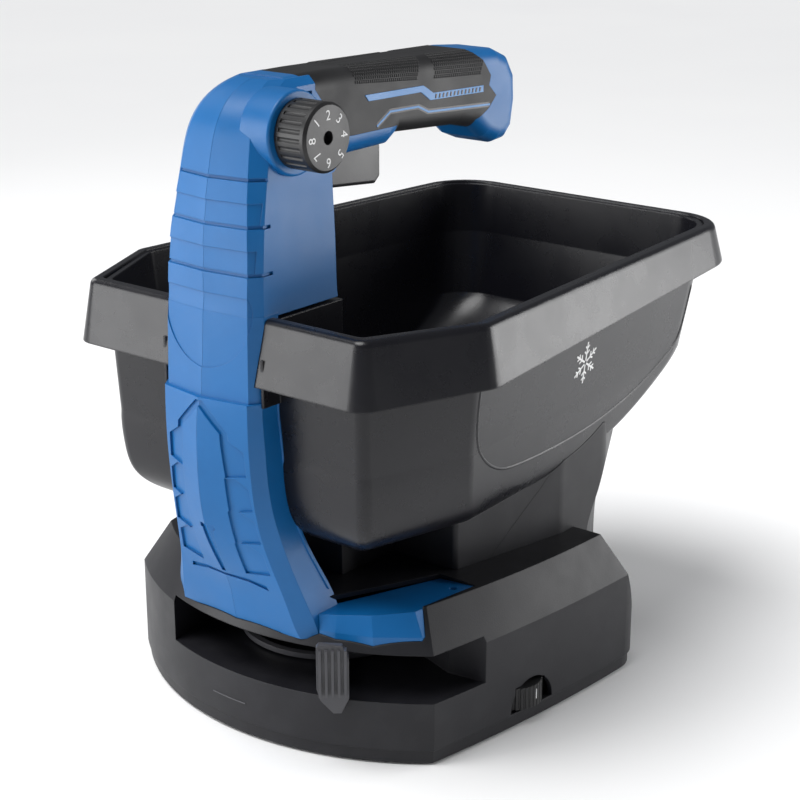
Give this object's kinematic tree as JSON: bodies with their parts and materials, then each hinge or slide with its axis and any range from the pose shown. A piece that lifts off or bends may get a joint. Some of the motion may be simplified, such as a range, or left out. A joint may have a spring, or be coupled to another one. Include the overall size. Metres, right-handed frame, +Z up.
{
  "type": "handheld salt spreader",
  "caption": "Battery-powered handheld salt spreader: open hopper on a base with front discharge slot, arched neck with rear-facing grip, dial, trigger and width lever.",
  "frame": {"origin": "centre of the overall box at the surface it stands on", "axes": "+Z up, -Y towards the discharge slot and neck, +X towards the dial side"},
  "size_m": [0.2616, 0.3679, 0.3574],
  "materials": {
    "blue_shell": "satin blue moulding",
    "black_hopper": "semi-gloss black moulding",
    "grey_base": "fine spark-textured dark grey moulding",
    "soft_grip": "black soft overmould",
    "black_knob": "fine matt black",
    "trigger_black": "satin black",
    "lever_grey": "satin grey",
    "foot_rubber": "matt",
    "steel": "turned",
    "gear_plastic": "natural acetal",
    "motor_can": "zinc plated",
    "contact_metal": "plated",
    "board_green": "solder mask",
    "impeller_black": "satin black",
    "battery_black": "fine textured black",
    "cable_black": "matt"
  },
  "bodies": {
    "frame": {"base_plate": "grey_base", "base_feet": "foot_rubber", "base_housing": "grey_base", "wing_cover": "blue_shell", "hopper_support": "grey_base", "rear_housing_left": "grey_base", "rear_housing_right": "grey_base", "hopper": "black_hopper", "neck_shell_left": "blue_shell", "neck_shell_right": "blue_shell", "handle_cap": "blue_shell", "grip_left": "soft_grip", "grip_right": "soft_grip", "dial_detent": "steel", "trigger_pin": "steel", "trigger_spring": "steel", "switch_body": "trigger_black", "switch_plunger": "gear_plastic", "gate_cable": "cable_black", "idler_pin": "steel", "motor": "motor_can", "motor_mount": "steel", "gear_deck": "steel", "bearing_lower": "steel", "bearing_upper": "steel", "battery_dock": "grey_base", "battery_contacts": "contact_metal", "speed_wheel_axle": "gear_plastic", "control_board": "board_green", "neck_screws": "steel", "neck_bosses": "blue_shell", "base_screws": "steel"},
    "impeller_unit": {"impeller": "impeller_black", "impeller_shaft": "steel", "impeller_gear": "gear_plastic", "agitator": "impeller_black"},
    "idler": {"idler_gear": "gear_plastic"},
    "motor_rotor_unit": {"motor_pinion": "contact_metal", "motor_rotor": "steel"},
    "dial": {"dial_knob": "black_knob", "dial_shaft": "gear_plastic"},
    "gate": {"gate_plate": "impeller_black"},
    "trigger_lever": {"trigger": "trigger_black"},
    "width_ring": {"spread_ring": "lever_grey"},
    "battery": {"battery_case": "battery_black", "battery_latch_spring": "steel"},
    "latch": {"battery_latch": "lever_grey"},
    "speed_dial": {"speed_wheel": "black_knob"}
  },
  "joints": [
    {"name": "impeller_spin", "type": "hinge", "parent": "frame", "child": "impeller_unit", "pos_m": [0, -0.08, 0.044], "axis": [0, 0, 1], "continuous": true},
    {"name": "idler_spin", "type": "hinge", "parent": "frame", "child": "idler", "pos_m": [0, -0.029, 0.027], "axis": [0, 0, 1], "continuous": true},
    {"name": "motor_spin", "type": "hinge", "parent": "frame", "child": "motor_rotor_unit", "pos_m": [0, 0.007, 0.027], "axis": [0, 0, 1], "continuous": true},
    {"name": "dial_turn", "type": "hinge", "parent": "frame", "child": "dial", "pos_m": [0.04, -0.139, 0.333], "axis": [1, 0, 0], "range_deg": [-45, 270]},
    {"name": "gate_slide", "type": "slide", "parent": "frame", "child": "gate", "axis": [0, 1, 0], "range_m": [-0.0052, 0.0309]},
    {"name": "trigger_pull", "type": "hinge", "parent": "frame", "child": "trigger_lever", "pos_m": [0, -0.097, 0.309], "axis": [1, 0, 0], "range_deg": [0, 6], "stiffness_Nm_per_rad": 2, "springref_deg": -2.86, "deforming": ["trigger_spring"]},
    {"name": "width_swing", "type": "hinge", "parent": "frame", "child": "width_ring", "pos_m": [0, -0.08, 0.039], "axis": [0, 0, 1], "range_deg": [-64, 0]},
    {"name": "battery_slide", "type": "slide", "parent": "frame", "child": "battery", "axis": [0, 1, 0], "range_m": [0, 0.095]},
    {"name": "latch_press", "type": "slide", "parent": "battery", "child": "latch", "axis": [0, -1, 0], "range_m": [0, 0.0025], "stiffness_N_per_m": 400, "springref_m": -0.002, "deforming": ["battery_latch_spring"]},
    {"name": "speed_turn", "type": "hinge", "parent": "frame", "child": "speed_dial", "pos_m": [0.1066, -0.05, 0.0175], "axis": [0, 0, 1], "range_deg": [-135, 135]}
  ],
  "couplings": [
    {"joint": "idler_spin", "follows": "impeller_spin", "ratio": -0.88889},
    {"joint": "motor_spin", "follows": "impeller_spin", "ratio": 2.6667},
    {"joint": "gate_slide", "follows": "dial_turn", "m_per_rad": 0.0065481}
  ]
}
